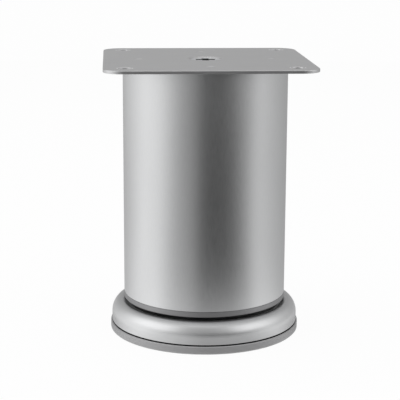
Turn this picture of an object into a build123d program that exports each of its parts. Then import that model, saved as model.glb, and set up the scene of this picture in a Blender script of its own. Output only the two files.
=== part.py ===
# Adjustable furniture leg: a satin aluminium tube under a square steel plate, with a screw-in foot.
# Millimetres, +Z up, origin on the floor at the middle of the foot pad.
#
# One long countersunk screw pulls the plate and the bottom plug together, with the tube clamped between them.
# The foot is a threaded stud that carries a rounded ring. The pad is snapped into the ring and turns in it,
# so the pad can stand still on the floor while the ring is turned to set the height.
import os

from build123d import *

os.makedirs("parts", exist_ok=True)

# Overall size
overall_height = 100.7
tube_diameter = 60.0
tube_wall = 1.5
tube_edge_chamfer = 0.15

# Mounting plate
plate_width = 74.0
plate_thickness = 1.2
plate_corner_radius = 7.0
plate_top_edge_radius = 0.3
plate_bottom_edge_radius = 0.2
hole_inset = 7.5
hole_diameter = 4.5
pip_inset = 4.5
pip_diameter = 4.0
pip_slope = 1.2
pip_depth = 0.3
pip_pocket_room = 0.4
pip_count = 4

# Tie screw and its nut
screw_diameter = 6.0
screw_head_diameter = 11.0
screw_head_land = 0.3
screw_head_recess = 0.4
screw_tip_chamfer = 0.8
screw_past_nut = 1.4
cross_width = 2.6
cross_span = 7.0
cross_depth = 3.0
cross_floor_share = 0.5
tie_nut_flats = 10.0
tie_nut_height = 5.0

# Plugs in the two ends of the tube
plug_wall = 2.0
plug_floor = 3.0
plug_chamfer = 0.8
plug_rim_height = 2.0
plug_rim_edge_radius = 0.3
top_plug_height = 16.0
top_hub_diameter = 16.0
bottom_plug_depth = 18.0
bottom_hub_wall = 3.0
nut_shoulder = 5.0
rib_count = 8
rib_thickness = 1.8
rib_setback = 1.5

# Threaded insert that the foot turns in
insert_diameter = 14.0
insert_flange_diameter = 18.0
insert_flange_height = 2.0
insert_body_height = 12.0
insert_groove_width = 1.6
insert_groove_depth = 0.5

# Foot: stud, ring, nut and pad
stud_diameter = 10.0
stud_head_diameter = 24.0
stud_head_height = 2.0
stud_tip_chamfer = 1.0
stud_spare_length = 2.0
adjust_travel = 15.0
foot_gap = 1.0
ring_diameter = 69.2
ring_height = 7.6
ring_wall = 1.4
ring_crown_inset = 3.8
ring_shoulder_height = 5.1
ring_bore_inset = 4.0
ring_bend_radius = 1.6
ring_lip_width = 0.5
ring_lip_height = 0.8
ring_nut_flats = 17.0
ring_nut_height = 5.0
pad_diameter = 70.2
pad_rim_height = 2.9
pad_floor_top = 2.6
pad_foot_chamfer = 0.3
pad_edge_chamfer = 0.25
pad_land_width = 0.35
pad_groove_depth = 1.0
pad_recess_depth = 0.6
pad_contact_width = 9.0
pad_catch_height = 0.8
pad_wall = 1.5
pad_slot_count = 6
pad_slot_width = 3.0
pad_rib_count = 12
pad_rib_thickness = 1.2

# Clearances
seam_gap = 0.5
fit_clearance = 0.05
plug_clearance = 0.15
slip_clearance = 0.3
screw_hole_clearance = 0.3
bore_clearance = 1.0

# Radii and spacings worked out from the sizes above
hole_pitch = plate_width - 2 * hole_inset
tube_radius = tube_diameter / 2
tube_bore_radius = tube_radius - tube_wall
plug_radius = tube_bore_radius - plug_clearance
screw_radius = screw_diameter / 2
screw_hole_radius = screw_radius + screw_hole_clearance
stud_radius = stud_diameter / 2
ring_radius = ring_diameter / 2
pad_radius = pad_diameter / 2
pip_circle_radius = tube_bore_radius - pip_inset
insert_bore_radius = insert_diameter / 2 + fit_clearance
stud_bore_radius = stud_radius + bore_clearance
bottom_hub_radius = insert_bore_radius + bottom_hub_wall

# Levels worked out from the floor upwards
ring_bottom = pad_rim_height + seam_gap
ring_top = ring_bottom + ring_height
plug_bottom = ring_top + foot_gap
tube_bottom = plug_bottom + plug_rim_height
plate_bottom = overall_height - plate_thickness
tube_length = plate_bottom - tube_bottom
insert_shoulder = plug_bottom + insert_flange_height
insert_top = insert_shoulder + insert_body_height
stud_top = insert_top + adjust_travel + stud_spare_length
web_bottom = pad_floor_top + stud_head_height
web_top = web_bottom + ring_wall
screw_tip = stud_top + foot_gap + slip_clearance + slip_clearance
tie_nut_bottom = screw_tip + screw_past_nut
tie_nut_top = tie_nut_bottom + tie_nut_height
bottom_hub_top = tie_nut_top + nut_shoulder
top_plug_bottom = plate_bottom - top_plug_height
screw_top = overall_height - screw_head_recess
screw_head_radius = screw_head_diameter / 2
sink_mouth_radius = screw_head_radius + screw_head_recess + screw_head_land + fit_clearance


# Mounting plate: a punched sheet with eased edges, a sunk seat for the screw and four shallow locating pips
sink_bottom = overall_height - (sink_mouth_radius - screw_hole_radius)
sink_lip = sink_bottom - plate_thickness / 2
sink_back_radius = sink_mouth_radius + plate_thickness * (2**0.5 - 1) / 2
sink_end_radius = sink_back_radius - (plate_bottom - sink_lip)

with BuildPart() as mounting_plate:
    with BuildSketch(Plane.XY.offset(plate_bottom)):
        RectangleRounded(plate_width, plate_width, plate_corner_radius)
        with GridLocations(hole_pitch, hole_pitch, 2, 2):
            Circle(hole_diameter / 2, mode=Mode.SUBTRACT)
    extrude(amount=plate_thickness)
    fillet(mounting_plate.faces().sort_by(Axis.Z)[-1].edges(), plate_top_edge_radius)
    fillet(mounting_plate.faces().sort_by(Axis.Z)[0].edges(), plate_bottom_edge_radius)
    with Locations((0, 0, plate_bottom)):
        with PolarLocations(pip_circle_radius, pip_count):
            Cone(
                pip_diameter / 2 - pip_slope + pip_depth,
                pip_diameter / 2 + pip_depth,
                pip_depth,
                align=(Align.CENTER, Align.CENTER, Align.MAX),
            )
    with Locations((0, 0, overall_height)):
        with PolarLocations(pip_circle_radius, pip_count):
            Cone(
                pip_diameter / 2 - pip_slope,
                pip_diameter / 2,
                pip_depth,
                align=(Align.CENTER, Align.CENTER, Align.MAX),
                mode=Mode.SUBTRACT,
            )
    with BuildSketch(Plane.XZ):
        Polygon(
            (0, plate_bottom),
            (sink_back_radius, plate_bottom),
            (sink_end_radius, sink_lip),
            (0, sink_lip),
            align=None,
        )
    revolve(axis=Axis.Z)
    with BuildSketch(Plane.XZ):
        Polygon(
            (0, overall_height),
            (sink_mouth_radius, overall_height),
            (screw_hole_radius, sink_bottom),
            (screw_hole_radius, sink_lip),
            (0, sink_lip),
            align=None,
        )
    revolve(axis=Axis.Z, mode=Mode.SUBTRACT)
mounting_plate.part.label = "mounting_plate"
export_step(mounting_plate.part, "parts/mounting_plate.step")


# Tie screw: countersunk head with a cross recess, in the plate's sunk seat
head_land_bottom = screw_top - screw_head_land
head_bottom = head_land_bottom - (screw_head_radius - screw_radius)

with BuildPart() as tie_screw:
    with BuildSketch(Plane.XZ):
        Polygon(
            (0, screw_tip),
            (screw_radius - screw_tip_chamfer, screw_tip),
            (screw_radius, screw_tip + screw_tip_chamfer),
            (screw_radius, head_bottom),
            (screw_head_radius, head_land_bottom),
            (screw_head_radius, screw_top),
            (0, screw_top),
            align=None,
        )
    revolve(axis=Axis.Z)
    for turn in (0, 90):
        with BuildSketch(Plane.XY.offset(screw_top)):
            Rectangle(cross_span, cross_width, rotation=turn)
        with BuildSketch(Plane.XY.offset(screw_top - cross_depth)):
            Rectangle(cross_span * cross_floor_share, cross_width, rotation=turn)
        loft(mode=Mode.SUBTRACT)
tie_screw.part.label = "tie_screw"
export_step(tie_screw.part, "parts/tie_screw.step")


# Tube: one cut length, its end corners broken
with BuildPart() as tube:
    with BuildSketch(Plane.XY.offset(tube_bottom)):
        Circle(tube_radius)
        Circle(tube_bore_radius, mode=Mode.SUBTRACT)
    extrude(amount=tube_length)
    chamfer(tube.edges().filter_by(GeomType.CIRCLE), tube_edge_chamfer)
tube.part.label = "tube"
export_step(tube.part, "parts/tube.step")


# Top plug: a ribbed cup under the plate that centres the tube and guides the tie screw
top_pocket_depth = plate_bottom - sink_lip + slip_clearance
pip_pocket_radius = pip_diameter / 2 + pip_depth + pip_pocket_room
top_plug_floor_bottom = plate_bottom - plug_floor
plug_inner_radius = plug_radius - plug_wall

with BuildPart() as top_plug:
    with BuildSketch(Plane.XY.offset(top_plug_bottom)):
        Circle(plug_radius)
    extrude(amount=top_plug_height)
    chamfer(top_plug.faces().sort_by(Axis.Z)[0].edges(), plug_chamfer)
    with BuildSketch(Plane.XY.offset(top_plug_bottom)):
        Circle(plug_inner_radius)
        Circle(top_hub_diameter / 2, mode=Mode.SUBTRACT)
    extrude(amount=top_plug_height - plug_floor, mode=Mode.SUBTRACT)
    with BuildSketch(Plane.XY.offset(top_plug_bottom + rib_setback)):
        with PolarLocations((top_hub_diameter / 2 + plug_inner_radius) / 2, rib_count):
            Rectangle(plug_inner_radius - top_hub_diameter / 2 + plug_wall, rib_thickness)
    extrude(amount=top_plug_height - plug_floor - rib_setback)
    with Locations((0, 0, plate_bottom)):
        Hole(screw_hole_radius, depth=top_plug_height)
        with PolarLocations(pip_circle_radius, pip_count):
            Hole(pip_pocket_radius, depth=pip_depth + slip_clearance)
    with BuildSketch(Plane.XZ):
        Polygon(
            (0, plate_bottom),
            (sink_back_radius + slip_clearance, plate_bottom),
            (sink_end_radius + slip_clearance, plate_bottom - top_pocket_depth),
            (0, plate_bottom - top_pocket_depth),
            align=None,
        )
    revolve(axis=Axis.Z, mode=Mode.SUBTRACT)
top_plug.part.label = "top_plug"
export_step(top_plug.part, "parts/top_plug.step")


# Bottom plug: its rim shows under the tube, and its tall hub holds the insert and the tie nut
bottom_skirt_top = tube_bottom + bottom_plug_depth
bottom_floor_top = plug_bottom + plug_floor

with BuildPart() as bottom_plug:
    with BuildSketch(Plane.XY.offset(plug_bottom)):
        Circle(tube_radius)
    extrude(amount=plug_rim_height)
    fillet(bottom_plug.faces().sort_by(Axis.Z)[0].edges(), plug_rim_edge_radius)
    with BuildSketch(Plane.XY.offset(tube_bottom)):
        Circle(plug_radius)
    extrude(amount=bottom_plug_depth)
    chamfer(bottom_plug.faces().sort_by(Axis.Z)[-1].edges(), plug_chamfer)
    with BuildSketch(Plane.XY.offset(bottom_floor_top)):
        Circle(plug_inner_radius)
    extrude(amount=bottom_skirt_top - bottom_floor_top, mode=Mode.SUBTRACT)
    with BuildSketch(Plane.XY.offset(plug_bottom)):
        Circle(bottom_hub_radius)
    extrude(amount=bottom_hub_top - plug_bottom)
    with BuildSketch(Plane.XZ) as gusset:
        Polygon(
            (bottom_hub_radius - rib_thickness, plug_bottom + plug_floor / 2),
            (plug_inner_radius + plug_wall / 2, plug_bottom + plug_floor / 2),
            (plug_inner_radius + plug_wall / 2, bottom_skirt_top - rib_setback),
            (bottom_hub_radius, tie_nut_top),
            (bottom_hub_radius - rib_thickness, tie_nut_top),
            align=None,
        )
    for turn in range(rib_count):
        with Locations(Rot(0, 0, turn * 360 / rib_count)):
            add(extrude(gusset.sketch, amount=rib_thickness / 2, both=True, mode=Mode.PRIVATE))
    with Locations(Pos(0, 0, plug_bottom) * Rot(180, 0, 0)):
        CounterBoreHole(
            insert_bore_radius,
            insert_flange_diameter / 2 + fit_clearance,
            insert_flange_height,
            depth=insert_top - plug_bottom,
        )
        Hole(stud_bore_radius, depth=tie_nut_bottom - plug_bottom)
        Hole(screw_hole_radius, depth=bottom_hub_top - plug_bottom)
    with BuildSketch(Plane.XY.offset(tie_nut_bottom)):
        RegularPolygon(tie_nut_flats / 2 + fit_clearance, 6, major_radius=False)
    extrude(amount=tie_nut_height, mode=Mode.SUBTRACT)
bottom_plug.part.label = "bottom_plug"
export_step(bottom_plug.part, "parts/bottom_plug.step")


# Hexagon nuts: one in the hub's pocket for the tie screw, one that locks the ring on the stud
def hexagon_nut(flats, bore_radius, bottom, height):
    """A nut with both faces chamfered down to its flats."""
    corner_cut = flats / 2 * (2 / 3**0.5 - 1)
    slope_drop = corner_cut * 3**-0.5
    with BuildPart() as nut:
        with BuildSketch(Plane.XY.offset(bottom)):
            RegularPolygon(flats / 2, 6, major_radius=False)
        extrude(amount=height)
        with BuildSketch(Plane.XZ):
            Polygon(
                (bore_radius, bottom),
                (flats / 2, bottom),
                (flats / 2 + corner_cut, bottom + slope_drop),
                (flats / 2 + corner_cut, bottom + height - slope_drop),
                (flats / 2, bottom + height),
                (bore_radius, bottom + height),
                align=None,
            )
        revolve(axis=Axis.Z, mode=Mode.INTERSECT)
    return nut


tie_nut = hexagon_nut(tie_nut_flats, screw_radius + fit_clearance, tie_nut_bottom, tie_nut_height)
tie_nut.part.label = "tie_nut"
export_step(tie_nut.part, "parts/tie_nut.step")

ring_nut = hexagon_nut(ring_nut_flats, stud_radius + fit_clearance, web_top, ring_nut_height)
ring_nut.part.label = "ring_nut"
export_step(ring_nut.part, "parts/ring_nut.step")


# Threaded insert: flanged below, so that the load pushes its flange against the hub
with BuildPart() as threaded_insert:
    with BuildSketch(Plane.XY.offset(plug_bottom)):
        Circle(insert_flange_diameter / 2)
    extrude(amount=insert_flange_height)
    with BuildSketch(Plane.XY.offset(insert_shoulder)):
        Circle(insert_diameter / 2)
    extrude(amount=insert_body_height)
    with BuildSketch(Plane.XY.offset(insert_shoulder + (insert_body_height - insert_groove_width) / 2)):
        Circle(insert_diameter / 2 + fit_clearance)
        Circle(insert_diameter / 2 - insert_groove_depth, mode=Mode.SUBTRACT)
    extrude(amount=insert_groove_width, mode=Mode.SUBTRACT)
    with Locations((0, 0, insert_top)):
        Hole(stud_radius + fit_clearance, depth=insert_top - plug_bottom)
threaded_insert.part.label = "threaded_insert"
export_step(threaded_insert.part, "parts/threaded_insert.step")


# Foot stud: a round head on the pad, and a threaded shank up into the insert
with BuildPart() as foot_stud:
    with BuildSketch(Plane.XY.offset(pad_floor_top)):
        Circle(stud_head_diameter / 2)
    extrude(amount=stud_head_height)
    with BuildSketch(Plane.XY.offset(web_bottom)):
        Circle(stud_radius)
    extrude(amount=stud_top - web_bottom)
    chamfer(foot_stud.faces().sort_by(Axis.Z)[-1].edges(), stud_tip_chamfer)
foot_stud.part.label = "foot_stud"
export_step(foot_stud.part, "parts/foot_stud.step")


# Foot ring: a spun shell with a rounded crown, a dished middle and a lip that holds the pad
crown_radius = ring_radius - ring_crown_inset
crown_level = ring_top - ring_shoulder_height
dish_radius = crown_radius - ring_bore_inset
dish_level = web_top + ring_bend_radius
dish_depth = ring_top - dish_level
bend_radius_at = dish_radius - ring_bend_radius
ring_bore_radius = stud_radius + fit_clearance
skirt_radius = ring_radius - ring_wall
lip_radius = skirt_radius - ring_lip_width
lip_top = ring_bottom + ring_lip_height

with BuildPart() as foot_ring:
    with BuildSketch(Plane.XZ):
        with BuildLine():
            Line((ring_radius, ring_bottom), (ring_radius, crown_level))
            EllipticalCenterArc(
                (crown_radius, crown_level), ring_crown_inset, ring_shoulder_height, 0, arc_size=90
            )
            EllipticalCenterArc((crown_radius, dish_level), ring_bore_inset, dish_depth, 90, arc_size=90)
            CenterArc((bend_radius_at, dish_level), ring_bend_radius, 0, -90)
            Polyline(
                (bend_radius_at, web_top),
                (ring_bore_radius, web_top),
                (ring_bore_radius, web_bottom),
                (bend_radius_at, web_bottom),
            )
            CenterArc((bend_radius_at, dish_level), ring_bend_radius + ring_wall, -90, 90)
            EllipticalCenterArc(
                (crown_radius, dish_level), ring_bore_inset - ring_wall, dish_depth - ring_wall, 180, arc_size=-90
            )
            EllipticalCenterArc(
                (crown_radius, crown_level),
                ring_crown_inset - ring_wall,
                ring_shoulder_height - ring_wall,
                90,
                arc_size=-90,
            )
            Polyline(
                (skirt_radius, crown_level),
                (skirt_radius, lip_top),
                (lip_radius, lip_top),
                (lip_radius, ring_bottom),
                (ring_radius, ring_bottom),
            )
        make_face()
    revolve(axis=Axis.Z)
foot_ring.part.label = "foot_ring"
export_step(foot_ring.part, "parts/foot_ring.step")


# Foot pad: a moulded disc whose slotted wall snaps past the ring's lip, ribbed inside and flat on the floor.
# A groove round the foot of that wall leaves it room to bend.
neck_radius = lip_radius - slip_clearance
catch_radius = skirt_radius - slip_clearance
catch_bottom = lip_top + slip_clearance
catch_top = catch_bottom + pad_catch_height
pad_bore_radius = neck_radius - pad_wall
pad_rib_top = web_bottom - slip_clearance
pad_rib_start = stud_head_diameter / 2 + bore_clearance
contact_inner_radius = pad_radius - pad_foot_chamfer - pad_contact_width
groove_radius = pad_radius - pad_edge_chamfer - pad_land_width
groove_bottom = pad_rim_height - pad_groove_depth

with BuildPart() as foot_pad:
    with BuildSketch(Plane.XZ):
        Polygon(
            (0, pad_recess_depth),
            (contact_inner_radius - pad_recess_depth, pad_recess_depth),
            (contact_inner_radius, 0),
            (pad_radius - pad_foot_chamfer, 0),
            (pad_radius, pad_foot_chamfer),
            (pad_radius, pad_rim_height - pad_edge_chamfer),
            (pad_radius - pad_edge_chamfer, pad_rim_height),
            (groove_radius, pad_rim_height),
            (groove_radius, groove_bottom),
            (neck_radius, groove_bottom),
            (neck_radius, catch_bottom),
            (catch_radius, catch_bottom),
            (neck_radius, catch_top),
            (pad_bore_radius, catch_top),
            (pad_bore_radius, pad_floor_top),
            (0, pad_floor_top),
            align=None,
        )
    revolve(axis=Axis.Z)
    with BuildSketch(Plane.XY.offset(pad_floor_top)):
        with PolarLocations((pad_bore_radius + catch_radius) / 2, pad_slot_count):
            Rectangle(2 * (catch_radius - pad_bore_radius), pad_slot_width)
    extrude(amount=catch_top - pad_floor_top, mode=Mode.SUBTRACT)
    with BuildSketch(Plane.XY.offset(pad_floor_top)):
        with PolarLocations((pad_rib_start + pad_bore_radius) / 2, pad_rib_count, start_angle=180 / pad_rib_count):
            Rectangle(pad_bore_radius - pad_rib_start, pad_rib_thickness)
    extrude(amount=pad_rib_top - pad_floor_top)
foot_pad.part.label = "foot_pad"
export_step(foot_pad.part, "parts/foot_pad.step")
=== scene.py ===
# %% [markdown]
# # An adjustable furniture leg
# A satin aluminium tube stands under a square steel plate. Below it is a foot that screws in and out: a
# threaded stud, a rounded ring that is gripped by hand, and a flat plastic pad that stays still on the floor
# while the ring turns. The solids come from the CAD model, already in place and already the right size. This
# lesson gives them their surfaces, cuts a real thread on the stud, and sets up the studio and the camera.

import math

import bmesh
import bpy
from mathutils import Matrix, Vector


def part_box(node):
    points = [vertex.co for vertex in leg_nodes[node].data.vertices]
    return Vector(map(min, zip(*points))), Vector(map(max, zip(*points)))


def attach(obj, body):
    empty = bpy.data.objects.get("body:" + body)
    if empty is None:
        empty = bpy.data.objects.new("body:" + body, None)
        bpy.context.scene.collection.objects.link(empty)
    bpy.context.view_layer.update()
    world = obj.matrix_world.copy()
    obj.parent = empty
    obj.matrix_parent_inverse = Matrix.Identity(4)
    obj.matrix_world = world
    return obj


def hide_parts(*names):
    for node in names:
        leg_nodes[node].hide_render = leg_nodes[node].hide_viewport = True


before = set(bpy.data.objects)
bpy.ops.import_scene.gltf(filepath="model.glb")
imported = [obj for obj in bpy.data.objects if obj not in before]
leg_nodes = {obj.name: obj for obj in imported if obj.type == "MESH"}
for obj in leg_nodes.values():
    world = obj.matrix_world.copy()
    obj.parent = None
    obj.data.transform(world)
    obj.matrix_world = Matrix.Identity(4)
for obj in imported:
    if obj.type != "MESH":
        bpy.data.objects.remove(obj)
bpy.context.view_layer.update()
print("CAD nodes:", ", ".join(sorted(leg_nodes)))

# %% [markdown]
# ## The photographer's camera
# The photograph was taken from a little above the leg and from about half a metre away, close enough for the
# plate to open out towards the viewer. The leg was also turned a few degrees on its table. In our frame the
# plate lies along X and Y, so the camera takes that turn instead: it is placed straight in front of the leg,
# then carried round the upright axis. A long lens and a point to aim at complete it, with a small roll,
# because the real camera was not quite level.

# %% Camera
MM = 0.001
LEG_TURN = math.radians(-4.24)
CAMERA_DISTANCE = 460.2 * MM
CAMERA_HEIGHT = 151.5 * MM
AIM_POINT = Vector((-1.73, 0.0, 48.12)) * MM
CAMERA_ROLL = math.radians(0.28)
SENSOR_WIDTH = 36.0
LENS = 114.33

carry_round = Matrix.Rotation(LEG_TURN, 3, "Z")
camera_place = carry_round @ Vector((0, -CAMERA_DISTANCE, CAMERA_HEIGHT))
aim = carry_round @ AIM_POINT
looking = (aim - camera_place).to_track_quat("-Z", "Y").to_matrix()
rolled = looking @ Matrix.Rotation(CAMERA_ROLL, 3, "Z")

camera = bpy.data.objects.new("camera", bpy.data.cameras.new("camera"))
bpy.context.scene.collection.objects.link(camera)
camera.data.sensor_width = SENSOR_WIDTH
camera.data.lens = LENS
camera.matrix_world = Matrix.Translation(camera_place) @ rolled.to_4x4()
bpy.context.scene.camera = camera
bpy.context.scene.view_settings.view_transform = "Standard"
print("camera in mm:", [round(x / MM) for x in camera_place])

# %% [markdown]
# ## Shader maths as Python
# A finish is a small network of nodes. Wiring it by hand takes many lines, so two helpers do it. `Value`
# wraps one output of a node, and lets it be used in sums such as `1 - grain * 0.2`: each sum adds a Math
# node. `Network` adds any other node: it sets the node's own settings first, then fills or links its sockets.


# %% Two helpers for node networks
class Value:
    """The output of a node, ready to be used in sums."""

    def __init__(self, network, socket):
        self.network = network
        self.socket = socket

    def sum_of(self, operation, first, second):
        return self.network.add("ShaderNodeMath", {"operation": operation}, {0: first, 1: second})

    def __add__(self, other):
        return self.sum_of("ADD", self, other)

    __radd__ = __add__

    def __sub__(self, other):
        return self.sum_of("SUBTRACT", self, other)

    def __rsub__(self, other):
        return self.sum_of("SUBTRACT", other, self)

    def __mul__(self, other):
        return self.sum_of("MULTIPLY", self, other)

    __rmul__ = __mul__


class Network:
    """A node tree that is emptied, then filled one node at a time."""

    def __init__(self, tree):
        self.tree = tree
        tree.nodes.clear()

    def add(self, kind, settings=None, sockets=None, output=0):
        node = self.tree.nodes.new(kind)
        for name, setting in (settings or {}).items():
            if name == "stops":
                self.set_stops(node.color_ramp, setting)
            else:
                setattr(node, name, setting)
        for name, value in (sockets or {}).items():
            if isinstance(value, Value):
                self.tree.links.new(value.socket, node.inputs[name])
            else:
                node.inputs[name].default_value = value
        return Value(self, node.outputs[output]) if node.outputs else node

    @staticmethod
    def set_stops(ramp, stops):
        ramp.interpolation = "LINEAR"
        while len(ramp.elements) < len(stops):
            ramp.elements.new(0.5)
        for element, (place, colour) in zip(ramp.elements, stops):
            element.position = place
            element.color = colour


print("helpers:", Value.__name__, "and", Network.__name__)

# %% [markdown]
# ## Where on the piece: coordinates for grain
# Metal and plastic get their grain from how they were made. An extruded tube has faint lines along its
# length, and a spun ring has lines around its axis. Both can be had from one noise, if the point where the
# noise is read is stretched first. Object coordinates are used, because each piece keeps its place in its
# mesh, so a grain measured in metres stays fixed to the piece when it moves.

# %% Helpers for grain
NOISE_ROUGHNESS = 0.55


def grain(network, place, size, detail=2.0):
    """Soft noise from 0 to 1 whose spots are about as large as size, in metres."""
    return network.add(
        "ShaderNodeTexNoise",
        {"noise_dimensions": "3D"},
        {"Vector": place, "Scale": 1 / size, "Detail": detail, "Roughness": NOISE_ROUGHNESS},
    )


def stretched(network, along):
    """Object coordinates drawn out along each axis by the three factors."""
    here = network.add("ShaderNodeTexCoord", output="Object")
    squeeze = [1 / factor for factor in along]
    return network.add("ShaderNodeMapping", {}, {"Vector": here, "Scale": squeeze})


def around_axis(network):
    """Coordinates that are the same all the way round Z: distance from the axis, and height."""
    here = network.add("ShaderNodeTexCoord", output="Object")
    flat = network.add("ShaderNodeVectorMath", {"operation": "MULTIPLY"}, {0: here, 1: (1, 1, 0)})
    reach = network.add("ShaderNodeVectorMath", {"operation": "LENGTH"}, {0: flat}, "Value")
    height = network.add("ShaderNodeSeparateXYZ", {}, {"Vector": here}, "Z")
    return network.add("ShaderNodeCombineXYZ", {}, {"X": reach, "Z": height})


print("grain from a noise with a roughness of", NOISE_ROUGHNESS)


# %% Helpers for steps, tones and bumps
def smooth_step(network, value, start, end):
    """0 up to start and 1 from end on, with a smooth change between."""
    return network.add(
        "ShaderNodeMapRange",
        {"interpolation_type": "SMOOTHSTEP"},
        {"Value": value, "From Min": start, "From Max": end, "To Min": 0.0, "To Max": 1.0},
    )


def how_far(network, axis, start, end):
    """A smooth step from start to end: along X it goes out from the leg's axis, along Z it goes up."""
    reach = network.add("ShaderNodeSeparateXYZ", {}, {"Vector": around_axis(network)}, axis)
    return smooth_step(network, reach, start, end)


def tinted(network, base, amount):
    """The base colour, made lighter or darker by amount, a value around 1."""
    return network.add("ShaderNodeVectorMath", {"operation": "SCALE"}, {0: base, "Scale": amount})


def shallow_bump(network, height, strength, depth):
    """A normal that follows height, a value from 0 to 1, over a depth in metres."""
    return network.add("ShaderNodeBump", {}, {"Strength": strength, "Distance": depth, "Height": height})


def blank_material(name):
    """A new material and its empty network."""
    material = bpy.data.materials.new(name)
    material.use_nodes = True
    return material, Network(material.node_tree)


def finished(name, network_maker):
    """A material whose network is filled by network_maker, which returns the Principled sockets."""
    material, network = blank_material(name)
    surface = network.add("ShaderNodeBsdfPrincipled", {}, network_maker(network))
    network.add("ShaderNodeOutputMaterial", {}, {"Surface": surface})
    print("finish:", name, "with", len(network.tree.nodes), "nodes")
    return material


print("materials before the new finishes:", len(bpy.data.materials))

# %% [markdown]
# ## Satin anodised aluminium
# The tube was extruded, etched matt and anodised. Anodising leaves a fine, slightly sparkling grain with
# faint lines along the draw. One noise drawn out along Z gives the lines, a second one gives larger clouds
# that keep the colour from being dead even. Both move the colour a little, and the lines also change the
# roughness and give a shallow bump.

# %% Tube finish
FINE_DETAIL = 3.0
TUBE_COLOUR = (0.64, 0.645, 0.65)
DRAWN_LINES = (1, 1, 5)
DRAWN_CLOUDS = (1, 1, 2)
DRAW_LINE_SIZE = 0.45 * MM
TUBE_CLOUD_SIZE = 12 * MM
SKIN_DEPTH = 0.02 * MM


def tube_surface(network):
    lines = grain(network, stretched(network, DRAWN_LINES), DRAW_LINE_SIZE, FINE_DETAIL)
    clouds = grain(network, stretched(network, DRAWN_CLOUDS), TUBE_CLOUD_SIZE)
    return {
        "Base Color": tinted(network, TUBE_COLOUR, 0.93 + 0.09 * lines + 0.05 * clouds),
        "Metallic": 1.0,
        "Roughness": 0.29 + 0.1 * lines,
        "Normal": shallow_bump(network, lines, 0.25, SKIN_DEPTH),
    }


tube_finish = finished("satin_anodised_tube", tube_surface)

# %% [markdown]
# ## Spun aluminium
# The foot ring was pressed and spun to shape, then anodised like the tube. Its lines run round the axis, so
# the noise is read from the distance to the axis and the height alone, which makes it the same all the way
# round. Over the crown towards the tube its colour is darkened a little, and much more in the hollow under
# the tube: painted shade, where the tube and plug shut out the light.

# %% Ring finish
EVEN = (1, 1, 1)
RING_COLOUR = (0.66, 0.665, 0.67)
SPUN_LINE_SIZE = 0.35 * MM
RING_CLOUD_SIZE = 7 * MM
HOLLOW_EDGE = 26 * MM
SHOULDER_INSIDE = 27 * MM
SHOULDER_OUTSIDE = 31 * MM
CROWN_SHADE_EDGE = 33.4 * MM
HOLLOW_SHADE_TONE = 0.2
SHOULDER_SHADE_TONE = 0.85


def ring_surface(network):
    turning = grain(network, around_axis(network), SPUN_LINE_SIZE)
    clouds = grain(network, stretched(network, EVEN), RING_CLOUD_SIZE)
    # Painted shade: the colour is darkened over the crown's inner part towards the tube, and most in the
    # hollow under it.
    out_of_hollow = how_far(network, "X", HOLLOW_EDGE, SHOULDER_INSIDE)
    over_crown = how_far(network, "X", SHOULDER_OUTSIDE, CROWN_SHADE_EDGE)
    shoulder_shade = HOLLOW_SHADE_TONE + (SHOULDER_SHADE_TONE - HOLLOW_SHADE_TONE) * out_of_hollow
    crown_shade = shoulder_shade + (1 - SHOULDER_SHADE_TONE) * over_crown
    return {
        "Base Color": tinted(network, RING_COLOUR, crown_shade * (0.95 + 0.05 * turning + 0.05 * clouds)),
        "Metallic": 1.0,
        "Roughness": 0.3 + 0.1 * turning,
        "Normal": shallow_bump(network, turning, 0.2, SKIN_DEPTH),
    }


ring_finish = finished("spun_aluminium_ring", ring_surface)

# %% [markdown]
# ## Plated steel plate
# The plate was stamped from cold-rolled sheet and plated. Rolled sheet has long faint lines one way, and the
# plating over them is even and silky, duller than the aluminium. A narrow rim round each screw hole and the
# inside of the four pressed pips are lightened: painted highlights, glints where these edges and slopes catch
# the light. Holes and pips lie alike in the four quarters, so the distance to the nearest one is measured
# after the signs of X and Y are dropped.

# %% Painted highlights on the plate
HOLE_PLACE = 29.5 * MM
GLINT_FROM = 2.5 * MM
GLINT_TO = 3.0 * MM
GLINT_EDGE = 0.05 * MM
GLINT_FADE = 0.2 * MM
PIP_PLACE = 24 * MM
PIP_RADIUS = 1.8 * MM


def from_the_spot(network, spot):
    """Distance from the nearest of the places that lie like spot in the four quarters of the plate."""
    here = network.add("ShaderNodeTexCoord", output="Object")
    quarter = network.add("ShaderNodeVectorMath", {"operation": "ABSOLUTE"}, {0: here})
    apart = network.add("ShaderNodeVectorMath", {"operation": "SUBTRACT"}, {0: quarter, 1: spot})
    flat = network.add("ShaderNodeVectorMath", {"operation": "MULTIPLY"}, {0: apart, 1: (1, 1, 0)})
    return network.add("ShaderNodeVectorMath", {"operation": "LENGTH"}, {0: flat}, "Value")


def glint_rims(network):
    """1 in a narrow rim round each of the four screw holes, where a highlight is painted, 0 elsewhere."""
    apart = from_the_spot(network, (HOLE_PLACE, HOLE_PLACE, 0))
    past_edge = smooth_step(network, apart, GLINT_FROM - GLINT_EDGE, GLINT_FROM)
    past_rim = smooth_step(network, apart, GLINT_TO - GLINT_FADE, GLINT_TO)
    return past_edge * (1 - past_rim)


def pip_highlights(network):
    """1 inside the four pressed pips, where a highlight is painted, 0 elsewhere."""
    beside = from_the_spot(network, (PIP_PLACE, 0, 0))
    before = from_the_spot(network, (0, PIP_PLACE, 0))
    apart = network.add("ShaderNodeMath", {"operation": "MINIMUM"}, {0: beside, 1: before})
    return 1 - smooth_step(network, apart, PIP_RADIUS / 2, PIP_RADIUS)


print("holes", round(HOLE_PLACE / MM, 1), "mm and pips", round(PIP_PLACE / MM, 1), "mm from the middle")

# %% Plate finish
PLATE_COLOUR = (0.6, 0.6, 0.605)
ROLLED_LINES = (14, 1, 1)
ROLL_LINE_SIZE = 0.5 * MM
PLATE_CLOUD_SIZE = 10 * MM
GLINT_GAIN = 0.5
PIP_HIGHLIGHT_GAIN = 0.3


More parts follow.
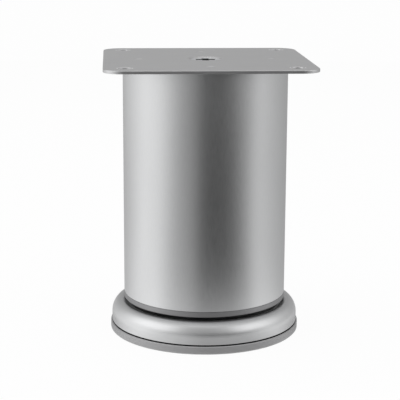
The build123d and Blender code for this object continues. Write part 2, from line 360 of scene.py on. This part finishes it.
def plate_surface(network):
    rolling = grain(network, stretched(network, ROLLED_LINES), ROLL_LINE_SIZE, FINE_DETAIL)
    clouds = grain(network, stretched(network, EVEN), PLATE_CLOUD_SIZE)
    # Painted highlights: the colour is lightened at the rims round the holes and inside the pips.
    painted_highlights = GLINT_GAIN * glint_rims(network) + PIP_HIGHLIGHT_GAIN * pip_highlights(network)
    return {
        "Base Color": tinted(network, PLATE_COLOUR, 0.95 + 0.05 * rolling + 0.05 * clouds + painted_highlights),
        "Metallic": 1.0,
        "Roughness": 0.32 + 0.1 * rolling,
        "Normal": shallow_bump(network, rolling, 0.15, SKIN_DEPTH),
    }


plate_finish = finished("plated_steel_plate", plate_surface)

# %% [markdown]
# ## Zinc-plated fasteners and a brass insert
# Screw, nuts and stud are bright zinc over steel: smoother than the plate, with the slightly uneven tone of a
# barrel finish. The insert is turned brass. One function makes both, since only the colour and the gloss
# differ.

# %% Fastener finishes
ZINC_COLOUR = (0.62, 0.63, 0.66)
ZINC_ROUGHNESS = 0.24
BRASS_COLOUR = (0.72, 0.55, 0.27)
BRASS_ROUGHNESS = 0.2
LATHE_LINE_SIZE = 0.2 * MM
PATCH_SIZE = 2.5 * MM


def turned_metal(colour, roughness):
    def surface(network):
        turning = grain(network, around_axis(network), LATHE_LINE_SIZE)
        patches = grain(network, stretched(network, EVEN), PATCH_SIZE)
        return {
            "Base Color": tinted(network, colour, 0.88 + 0.16 * patches + 0.05 * turning),
            "Metallic": 1.0,
            "Roughness": roughness + 0.1 * patches,
        }

    return surface


zinc_finish = finished("bright_zinc", turned_metal(ZINC_COLOUR, ZINC_ROUGHNESS))
brass_finish = finished("turned_brass", turned_metal(BRASS_COLOUR, BRASS_ROUGHNESS))

# %% [markdown]
# The screw in the middle of the plate is plated too. The cross in its head gets painted shade: its colour is
# darkened nearly to black within the reach of the cross, from just under the head's face down to the bottom
# of the recess.

# %% Screw finish
screw_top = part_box("tie_screw")[1].z
SCREW_COLOUR = (0.85, 0.86, 0.88)
CROSS_REACH = 3.8 * MM
CROSS_DEPTH = 3.2 * MM
CROSS_FADE = 1.1
CROSS_SHADE_TONE = 0.06
FACE_SKIN = 0.03 * MM
FACE_EDGE = 0.005 * MM


def screw_surface(network):
    sockets = turned_metal(SCREW_COLOUR, ZINC_ROUGHNESS)(network)
    inside = 1 - how_far(network, "X", CROSS_REACH, CROSS_FADE * CROSS_REACH)
    under_face = 1 - how_far(network, "Z", screw_top - FACE_SKIN, screw_top - FACE_EDGE)
    over_shank = how_far(network, "Z", screw_top - CROSS_FADE * CROSS_DEPTH, screw_top - CROSS_DEPTH)
    # Painted shade: the colour is darkened nearly to black inside the cross recess.
    cross_painted_shade = inside * under_face * over_shank
    sockets["Base Color"] = tinted(network, sockets["Base Color"], 1 - (1 - CROSS_SHADE_TONE) * cross_painted_shade)
    return sockets


screw_finish = finished("zinc_screw_dark_cross", screw_surface)

# %% [markdown]
# ## Moulded plastic
# Plugs and pad are injection moulded in grey. A mould is spark eroded, which leaves a fine matt texture on
# the piece: a small noise as bump, and a little unevenness in the gloss. Both are silver-grey compounds with
# metal flake in them, much in the plug, to go with the tube, and less in the pad.

# %% Plastic finishes
PLUG_COLOUR = (0.3, 0.3, 0.305)
PORE_SIZE = 0.25 * MM
PORE_DEPTH = 0.03 * MM
MOULD_CLOUD_SIZE = 6 * MM


def moulded_plastic(colour, flake, roughness):
    def surface(network):
        pores = grain(network, stretched(network, EVEN), PORE_SIZE)
        clouds = grain(network, stretched(network, EVEN), MOULD_CLOUD_SIZE)
        return {
            "Base Color": tinted(network, colour, 0.94 + 0.06 * pores + 0.06 * clouds),
            "Metallic": flake,
            "Roughness": roughness + 0.12 * pores,
            "Normal": shallow_bump(network, pores, 0.3, PORE_DEPTH),
        }

    return surface


plug_plastic = moulded_plastic(PLUG_COLOUR, flake=0.95, roughness=0.38)
plug_finish = finished("silver_grey_plug_plastic", plug_plastic)

# %% [markdown]
# The pad has to turn in the ring. The seam between ring and pad gets painted shade: everything inside the
# pad's outer land, from the bottom of its groove upwards, is darkened nearly to black.

# %% Pad finish
PAD_COLOUR = (0.42, 0.42, 0.425)
LAND_RADIUS = 34.5 * MM
GROOVE_BOTTOM = 1.9 * MM
SEAM_SHADE_FADE = 0.1 * MM
SEAM_SHADE_TONE = 0.04


def pad_surface(network):
    sockets = moulded_plastic(PAD_COLOUR, flake=0.7, roughness=0.42)(network)
    inside = 1 - how_far(network, "X", LAND_RADIUS - SEAM_SHADE_FADE, LAND_RADIUS)
    raised = how_far(network, "Z", GROOVE_BOTTOM - 2 * SEAM_SHADE_FADE, GROOVE_BOTTOM - SEAM_SHADE_FADE)
    # Painted shade: the seam between ring and pad is darkened nearly to black.
    seam_shade = 1 - (1 - SEAM_SHADE_TONE) * inside * raised
    sockets["Base Color"] = tinted(network, sockets["Base Color"], seam_shade)
    return sockets


pad_finish = finished("grey_pad_plastic", pad_surface)

# %% [markdown]
# ## Dressing the CAD nodes
# Each CAD node has one material slot, and keeps its mesh as it is. Only what is in the slot changes.

# %% Dress the nodes
finishes = {
    "mounting_plate": plate_finish,
    "tie_screw": screw_finish,
    "tie_nut": zinc_finish,
    "top_plug": plug_finish,
    "tube": tube_finish,
    "bottom_plug": plug_finish,
    "threaded_insert": brass_finish,
    "ring_nut": zinc_finish,
    "foot_ring": ring_finish,
    "foot_pad": pad_finish,
}
for node, finish in finishes.items():
    leg_nodes[node].material_slots[0].material = finish
print("dressed", len(finishes), "nodes")

# %% [markdown]
# ## A real thread on the stud
# In the CAD model the stud is a plain rod, because a thread would make its checks slow. It shows when the
# foot is screwed out, so here it gets its M10 thread. A thread is one ridge that climbs as it goes round, so
# a profile one pitch tall is spun about the axis and lifted a little at every step. After a full turn its
# lower end meets the upper end of the turn before, and the two are merged. Two planes then cut the rod to
# length. The flats and the flanks have the usual shares of the pitch.

# %% Sizes of the stud, read from the frame
stud_low, stud_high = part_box("foot_stud")
STUD_RADIUS = 5.0 * MM
HEAD_RADIUS = stud_high.x
HEAD_HEIGHT = 2.0 * MM
EDGE_BREAK = 0.3 * MM
TIP_CHAMFER = 1.0 * MM
RUN_OUT = 0.6 * MM
THREAD_PITCH = 1.5 * MM
ROOT_FLAT = THREAD_PITCH / 4
CREST_FLAT = THREAD_PITCH / 8
FLANK_RISE = THREAD_PITCH * 5 / 16
THREAD_DEPTH = THREAD_PITCH * math.sqrt(3) / 2 * 5 / 8

head_top = stud_low.z + HEAD_HEIGHT
thread_bottom = head_top + RUN_OUT
root_radius = STUD_RADIUS - THREAD_DEPTH
print("stud from", round(stud_low.z / MM, 2), "to", round(stud_high.z / MM, 2), "mm")

# %% Helpers for spinning
STEPS_PER_TURN = 64
MERGE_DISTANCE = EDGE_BREAK / 100
RIM_TOLERANCE = EDGE_BREAK / 10


def chain(mesh, points):
    """Vertices at (radius, height) points in the XZ plane, joined into a chain of edges."""
    corners = [mesh.verts.new((radius, 0, height)) for radius, height in points]
    return corners + [mesh.edges.new(pair) for pair in zip(corners, corners[1:])]


def full_turn(mesh, points, steps):
    """A chain of (radius, height) points, spun once round the leg's axis."""
    bmesh.ops.spin(
        mesh,
        geom=chain(mesh, points),
        cent=(0, 0, 0),
        axis=(0, 0, 1),
        angle=math.tau,
        steps=steps,
        use_merge=True,
    )


def open_edges(mesh, height):
    """The edges of the open rim at that height."""
    rim = [edge for edge in mesh.edges if edge.is_boundary]
    return [edge for edge in rim if all(abs(end.co.z - height) < RIM_TOLERANCE for end in edge.verts)]


def object_from(mesh, name):
    """A new object in the scene, with the shape of the bmesh, which is freed."""
    made = bpy.data.objects.new(name, bpy.data.meshes.new(name))
    bpy.context.scene.collection.objects.link(made)
    mesh.to_mesh(made.data)
    mesh.free()
    return made


print("a full turn of the thread takes", STEPS_PER_TURN, "steps")

# %% Thread
stud_mesh = bmesh.new()
first_turn = thread_bottom - THREAD_PITCH
crest_start = first_turn + ROOT_FLAT + FLANK_RISE
turns = math.ceil((stud_high.z - first_turn) / THREAD_PITCH) + 1
ridge = chain(
    stud_mesh,
    [
        (root_radius, first_turn),
        (root_radius, first_turn + ROOT_FLAT),
        (STUD_RADIUS, crest_start),
        (STUD_RADIUS, crest_start + CREST_FLAT),
        (root_radius, first_turn + THREAD_PITCH),
    ],
)
bmesh.ops.spin(
    stud_mesh,
    geom=ridge,
    cent=(0, 0, 0),
    axis=(0, 0, 1),
    dvec=(0, 0, THREAD_PITCH / STEPS_PER_TURN),
    angle=turns * math.tau,
    steps=turns * STEPS_PER_TURN,
)
bmesh.ops.remove_doubles(stud_mesh, verts=stud_mesh.verts, dist=MERGE_DISTANCE)
print("thread:", turns, "turns,", len(stud_mesh.faces), "faces")

# %% Ends of the thread
for height, outward in ((thread_bottom, -1), (stud_high.z, 1)):
    bmesh.ops.bisect_plane(
        stud_mesh,
        geom=stud_mesh.verts[:] + stud_mesh.edges[:] + stud_mesh.faces[:],
        plane_co=(0, 0, height),
        plane_no=(0, 0, outward),
        clear_outer=True,
    )
for corner in stud_mesh.verts:
    reach = math.hypot(corner.co.x, corner.co.y)
    allowed = STUD_RADIUS - TIP_CHAMFER + stud_high.z - corner.co.z
    if reach > allowed:
        corner.co.xy *= allowed / reach
bmesh.ops.edgeloop_fill(stud_mesh, edges=open_edges(stud_mesh, stud_high.z))
print("thread cut to length:", len(stud_mesh.faces), "faces")

# %% [markdown]
# The stud's round head lies on the pad and carries the ring. It is one more spin of a profile, open at the
# neck, and the neck's rim is bridged to the foot of the thread, so that the stud is a single closed skin.

# %% Head of the stud
SHARP_ANGLE = math.radians(25)
neck_top = head_top + RUN_OUT / 2
head_profile = [
    (0, stud_low.z),
    (HEAD_RADIUS - EDGE_BREAK, stud_low.z),
    (HEAD_RADIUS, stud_low.z + EDGE_BREAK),
    (HEAD_RADIUS, head_top - EDGE_BREAK),
    (HEAD_RADIUS - EDGE_BREAK, head_top),
    (STUD_RADIUS, head_top),
    (STUD_RADIUS, neck_top),
]
full_turn(stud_mesh, head_profile, STEPS_PER_TURN)
bmesh.ops.remove_doubles(stud_mesh, verts=stud_mesh.verts, dist=MERGE_DISTANCE)
neck_rims = open_edges(stud_mesh, neck_top) + open_edges(stud_mesh, thread_bottom)
bmesh.ops.bridge_loops(stud_mesh, edges=neck_rims)
bmesh.ops.recalc_face_normals(stud_mesh, faces=stud_mesh.faces)
open_rims = sum(edge.is_boundary for edge in stud_mesh.edges)

threaded_stud = object_from(stud_mesh, "threaded_stud")
threaded_stud.data.shade_smooth()
threaded_stud.data.set_sharp_from_angle(angle=SHARP_ANGLE)
threaded_stud.data.materials.append(zinc_finish)
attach(threaded_stud, "foot")
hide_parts("foot_stud")
print("stud:", len(threaded_stud.data.polygons), "faces,", open_rims, "open edges")

# %% [markdown]
# ## The studio
# Satin metal shows its surroundings as soft bands, so the studio is as much a part of the picture as the leg.
# The tube in the photograph is bright on its left, dimmer on its right and dark in the middle. That is a
# light tent: white cloth all round, lit from both sides, with a dark opening for the camera and a dark card
# on the table in front. The camera looks down a little, so an upright wall such as the tube mirrors the table
# rather than the tent.
#
# Bearings are measured round the leg in degrees, 0 towards the camera and 90 to its right. One list of tones
# holds for the far part of the table, one for its middle, one for the table near the foot and one for the
# shade right under it, and a last one for the upper part of the tent. A ramp goes from stop to stop.

# %% Tones of the studio
FAR_TONES = [
    (-90, 1.15),
    (-62, 0.97),
    (-38, 0.45),
    (-14, 0.28),
    (-4, 0.02),
    (38, 0.02),
    (60, 0.25),
    (78, 0.78),
    (105, 0.62),
    (150, 0.44),
    (200, 0.48),
    (240, 0.88),
    (270, 1.15),
]
TABLE_TONES = [
    (-90, 1.12),
    (-62, 1.0),
    (-38, 0.5),
    (-14, 0.32),
    (-3, 0.045),
    (32, 0.045),
    (50, 0.26),
    (70, 0.82),
    (105, 0.62),
    (150, 0.44),
    (200, 0.45),
    (240, 0.72),
    (270, 1.12),
]
FOOT_TONES = [
    (-90, 1.0),
    (-58, 1.35),
    (-30, 0.95),
    (0, 0.72),
    (33, 0.82),
    (60, 1.1),
    (85, 1.0),
    (120, 0.55),
    (180, 0.45),
    (235, 0.55),
    (270, 1.0),
]
CONTACT_TONES = [
    (-90, 0.5),
    (-58, 1.0),
    (-30, 0.75),
    (0, 0.44),
    (33, 0.45),
    (60, 0.8),
    (85, 0.5),
    (120, 0.4),
    (180, 0.4),
    (235, 0.4),
    (270, 0.5),
]
TENT_TONES = [
    (-90, 1.45),
    (-50, 1.4),
    (-25, 0.5),
    (0, 0.42),
    (28, 0.48),
    (52, 1.35),
    (84, 1.2),
    (110, 0.7),
    (140, 0.47),
    (180, 0.47),
    (225, 0.52),
    (250, 0.9),
    (270, 1.45),
]
for tones in (FAR_TONES, TABLE_TONES, FOOT_TONES, CONTACT_TONES, TENT_TONES):
    print(len(tones), "tones, the brightest", max(tone for bearing, tone in tones))


# %% Helpers for tones
def grey(tone):
    return (tone, tone, tone, 1)


def mixed(network, share, first, second):
    """Two colours blended: the first where share is 0, the second where it is 1."""
    colours = {"data_type": "RGBA", "blend_type": "MIX"}
    return network.add("ShaderNodeMix", colours, {0: share, 6: first, 7: second}, 2)


def round_the_leg(network, tones):
    """Grey that changes with the bearing round the leg, as the list of tones says."""
    here = network.add("ShaderNodeTexCoord", output="Object")
    bearing = network.add("ShaderNodeTexGradient", {"gradient_type": "RADIAL"}, {"Vector": here}, 1)
    stops = [((degrees + 90) / 360, grey(tone)) for degrees, tone in tones]
    return network.add("ShaderNodeValToRGB", {"stops": stops}, {"Fac": bearing})


print("white is", grey(1.0))

# %% [markdown]
# The tent and the card are both a profile spun round the leg, with a material that gives off light. Both are
# hidden from the camera, so that the picture's background stays white, and neither casts a shadow.

# %% Helpers for the stage
STAGE_STEPS = 96


def glowing(name, tone_maker):
    """A material that gives off the grey that tone_maker works out."""
    material, network = blank_material(name)
    glow = network.add("ShaderNodeEmission", {}, {"Color": tone_maker(network), "Strength": 1.0})
    network.add("ShaderNodeOutputMaterial", {}, {"Surface": glow})
    return material


def spun_stage(name, profile, material):
    """A stage object, hidden from the camera: (radius, height) points spun round the leg."""
    mesh = bmesh.new()
    full_turn(mesh, profile, STAGE_STEPS)
    stage_object = object_from(mesh, name)
    stage_object.matrix_world = carry_round.to_4x4()
    stage_object.data.materials.append(material)
    stage_object.visible_camera = False
    stage_object.visible_shadow = False
    print(name, "with", len(stage_object.data.polygons), "faces")
    return stage_object


print("the stage is spun in", STAGE_STEPS, "steps")

# %% [markdown]
# The tent is a drum with a flat ceiling. Its wall starts with the tones of the far table and goes over to its
# own a little way up, and the ceiling fades to one even tone above the leg.

# %% Light tent
TENT_RADIUS = 0.9
TENT_HEIGHT = 0.8
TENT_RISE = 0.24
CEILING_REACH = 0.45
CEILING_TONE = 0.6


def tent_tone(network):
    rise = how_far(network, "Z", 0.0, TENT_RISE)
    outward = how_far(network, "X", CEILING_REACH, TENT_RADIUS)
    wall = mixed(network, rise, round_the_leg(network, FAR_TONES), round_the_leg(network, TENT_TONES))
    return mixed(network, outward, grey(CEILING_TONE), wall)


tent_profile = [(TENT_RADIUS, 0), (TENT_RADIUS, TENT_HEIGHT), (0, TENT_HEIGHT)]
spun_stage("light_tent", tent_profile, glowing("tent_light", tent_tone))

# %% [markdown]
# The card lies on the table from the foot outwards. Close to the foot it is lighter, because there the white
# table still shows, apart from the shade right under the foot. Only shiny surfaces see it: it would otherwise
# dim the light that the white table throws back.

# %% Table card
CARD_LIFT = 0.1 * MM
CARD_START = 35.6 * MM
SHADE_START = 40 * MM
SHADE_END = 60 * MM
CARD_FULL = 120 * MM
FAR_START = 300 * MM
FAR_FULL = 560 * MM


def card_tone(network):
    """From the foot outwards, one list of tones goes over into the next."""
    tone = round_the_leg(network, CONTACT_TONES)
    for start, end, tones in (
        (SHADE_START, SHADE_END, FOOT_TONES),
        (CARD_START, CARD_FULL, TABLE_TONES),
        (FAR_START, FAR_FULL, FAR_TONES),
    ):
        tone = mixed(network, how_far(network, "X", start, end), tone, round_the_leg(network, tones))
    return tone


card_profile = [(CARD_START, CARD_LIFT), (TENT_RADIUS, CARD_LIFT)]
table_card = spun_stage("table_card", card_profile, glowing("card_light", card_tone))
table_card.visible_diffuse = False

# %% [markdown]
# ## Floor and background
# The product was cut out on white. The floor is a wide white disc that the camera, and every shiny surface,
# sees mostly as plain white, with enough of its own shading left to keep the soft shadow under the pad. Its
# lower side is clear, so that the underside of the pad can be looked at too.

# %% Floor
FLOOR_RADIUS = 6.0
FLOOR_SHADE = 0.05
PAPER_TONE = 0.9


def seen_directly(network):
    """1 for what the eye sees, straight or in metal and glass, and 0 for light on other surfaces."""
    path = {
        kind: network.add("ShaderNodeLightPath", output=kind)
        for kind in ("Is Camera Ray", "Is Glossy Ray", "Is Transmission Ray")
    }
    either = path["Is Camera Ray"] + path["Is Glossy Ray"] + path["Is Transmission Ray"]
    return network.add("ShaderNodeClamp", {}, {"Value": either})


floor_mesh = bmesh.new()
bmesh.ops.create_circle(floor_mesh, cap_ends=True, segments=STAGE_STEPS, radius=FLOOR_RADIUS)
floor = object_from(floor_mesh, "floor")

white_floor, network = blank_material("white_floor")
paper = network.add("ShaderNodeBsdfDiffuse", {}, {"Color": grey(PAPER_TONE)})
plain_white = network.add("ShaderNodeEmission", {}, {"Color": grey(1.0), "Strength": 1.0})
share = seen_directly(network) * (1 - FLOOR_SHADE)
upper_side = network.add("ShaderNodeMixShader", {}, {0: share, 1: paper, 2: plain_white})
from_below = network.add("ShaderNodeNewGeometry", output="Backfacing")
clear = network.add("ShaderNodeBsdfTransparent")
surface = network.add("ShaderNodeMixShader", {}, {0: from_below, 1: upper_side, 2: clear})
network.add("ShaderNodeOutputMaterial", {}, {"Surface": surface})
floor.data.materials.append(white_floor)
print("floor radius", FLOOR_RADIUS, "m")

# %% [markdown]
# The world is white to the eye and in reflections as well, and gives a softer light to everything else.

# %% World
WORLD_LIGHT = 0.75

world = bpy.data.worlds.new("white_room")
bpy.context.scene.world = world
world.use_nodes = True
network = Network(world.node_tree)
strength = WORLD_LIGHT + seen_directly(network) * (1 - WORLD_LIGHT)
sky = network.add("ShaderNodeBackground", {}, {"Color": grey(1.0), "Strength": strength})
network.add("ShaderNodeOutputWorld", {}, {"Surface": sky})
print("world light", WORLD_LIGHT)

# %% [markdown]
# ## The overhead lamp
# One wide lamp overhead gives the plate its even tone and the pad its soft shadow.

# %% Overhead lamp
LAMP_PLACE = (-0.15, 0.05, 1.1)
LAMP_SIZE = 0.7
LAMP_POWER = 3.0

overhead = bpy.data.objects.new("overhead", bpy.data.lights.new("overhead", "AREA"))
overhead.data.size = LAMP_SIZE
overhead.data.energy = LAMP_POWER
overhead.matrix_world = Matrix.Translation(LAMP_PLACE)
bpy.context.scene.collection.objects.link(overhead)
print("overhead lamp:", LAMP_POWER, "W")
